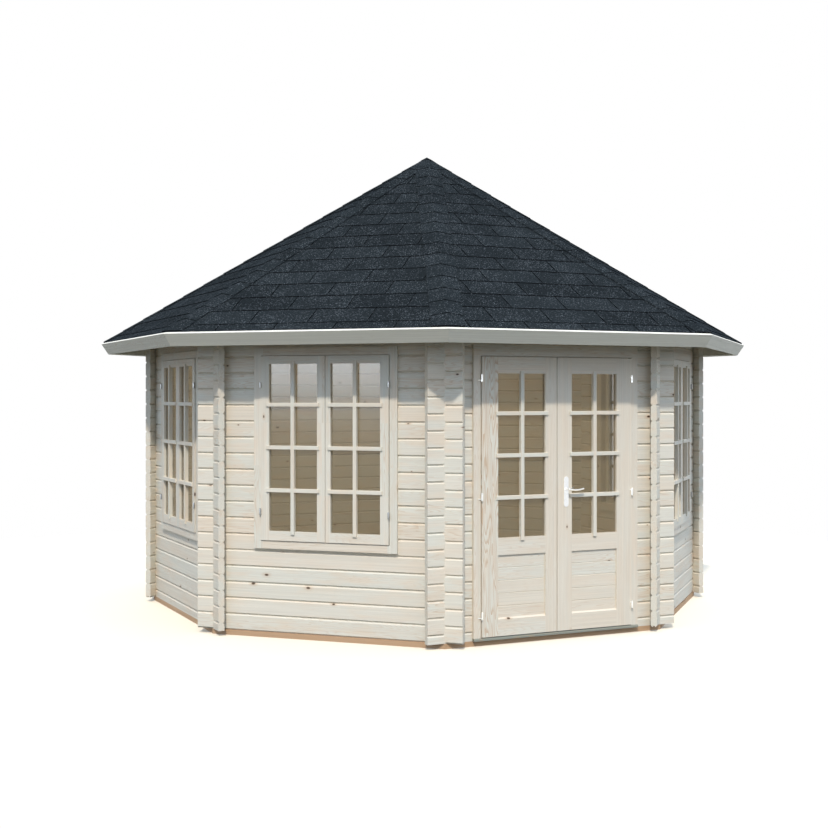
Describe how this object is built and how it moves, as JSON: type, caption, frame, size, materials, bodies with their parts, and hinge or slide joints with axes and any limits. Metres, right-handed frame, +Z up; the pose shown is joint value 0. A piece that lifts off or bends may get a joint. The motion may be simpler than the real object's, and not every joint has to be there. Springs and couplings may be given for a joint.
{
  "type": "octagonal log garden gazebo",
  "caption": "Octagonal garden gazebo with interlocked log walls, glazed double doors, casement windows and a shingled pyramid roof.",
  "frame": {"origin": "on the ground under the roof's apex, at the middle of the octagonal plan", "axes": "+Z up; -Y out of the doorway; +X to the right seen from in front of the doors"},
  "size_m": [4.972, 4.972, 3.6761],
  "materials": {
    "spruce_log": "planed, untreated",
    "planed_spruce": "planed, untreated",
    "spruce_board": "planed, untreated",
    "fascia_board": "planed, untreated",
    "treated_bearer": "impregnated",
    "threshold_timber": "metal-faced hardwood",
    "window_glass": "clear float",
    "zinc_hinge": "zinc plated",
    "handle_steel": "satin",
    "bitumen_shingle": "slate-grit bitumen"
  },
  "bodies": {
    "building": {"foundation_bearers": "treated_bearer", "floor_joists": "treated_bearer", "floor_boards": "spruce_board", "front_wall": "spruce_log", "front_right_wall": "spruce_log", "right_wall": "spruce_log", "back_right_wall": "spruce_log", "back_wall": "spruce_log", "back_left_wall": "spruce_log", "left_wall": "spruce_log", "front_left_wall": "spruce_log", "eaves_logs": "spruce_log", "door_frame": "planed_spruce", "door_threshold": "threshold_timber", "left_frame_hinges": "zinc_hinge", "right_frame_hinges": "zinc_hinge", "front_left_window_frame": "planed_spruce", "front_left_window_sashes": "planed_spruce", "front_left_window_glass": "window_glass", "left_window_frame": "planed_spruce", "left_window_sashes": "planed_spruce", "left_window_glass": "window_glass", "right_window_frame": "planed_spruce", "right_window_sashes": "planed_spruce", "right_window_glass": "window_glass", "front_right_window_frame": "planed_spruce", "front_right_window_sashes": "planed_spruce", "front_right_window_glass": "window_glass", "hip_rafters": "spruce_board", "roof_boss": "spruce_board", "roof_boards": "spruce_board", "roof_shingles": "bitumen_shingle", "hip_caps": "bitumen_shingle", "eaves_fascia": "fascia_board"},
    "left_leaf": {"left_door_leaf": "planed_spruce", "left_door_panel": "planed_spruce", "left_door_glass": "window_glass", "left_leaf_hinges": "zinc_hinge"},
    "right_leaf": {"right_door_leaf": "planed_spruce", "right_door_panel": "planed_spruce", "right_door_glass": "window_glass", "right_leaf_hinges": "zinc_hinge", "handle_plates": "handle_steel"},
    "lever": {"door_handle": "handle_steel"}
  },
  "joints": [
    {"name": "left_door_swing", "type": "hinge", "parent": "building", "child": "left_leaf", "pos_m": [-0.6025, -2.126, 1], "axis": [0, 0, -1], "range_deg": [0, 150]},
    {"name": "right_door_swing", "type": "hinge", "parent": "building", "child": "right_leaf", "pos_m": [0.6025, -2.126, 1], "axis": [0, 0, 1], "range_deg": [0, 150]},
    {"name": "lever_turn", "type": "hinge", "parent": "right_leaf", "child": "lever", "pos_m": [0.059, -2.098, 1.042], "axis": [0, 1, 0], "range_deg": [0, 40], "stiffness_Nm_per_rad": 1.5, "springref_deg": -20.05}
  ]
}
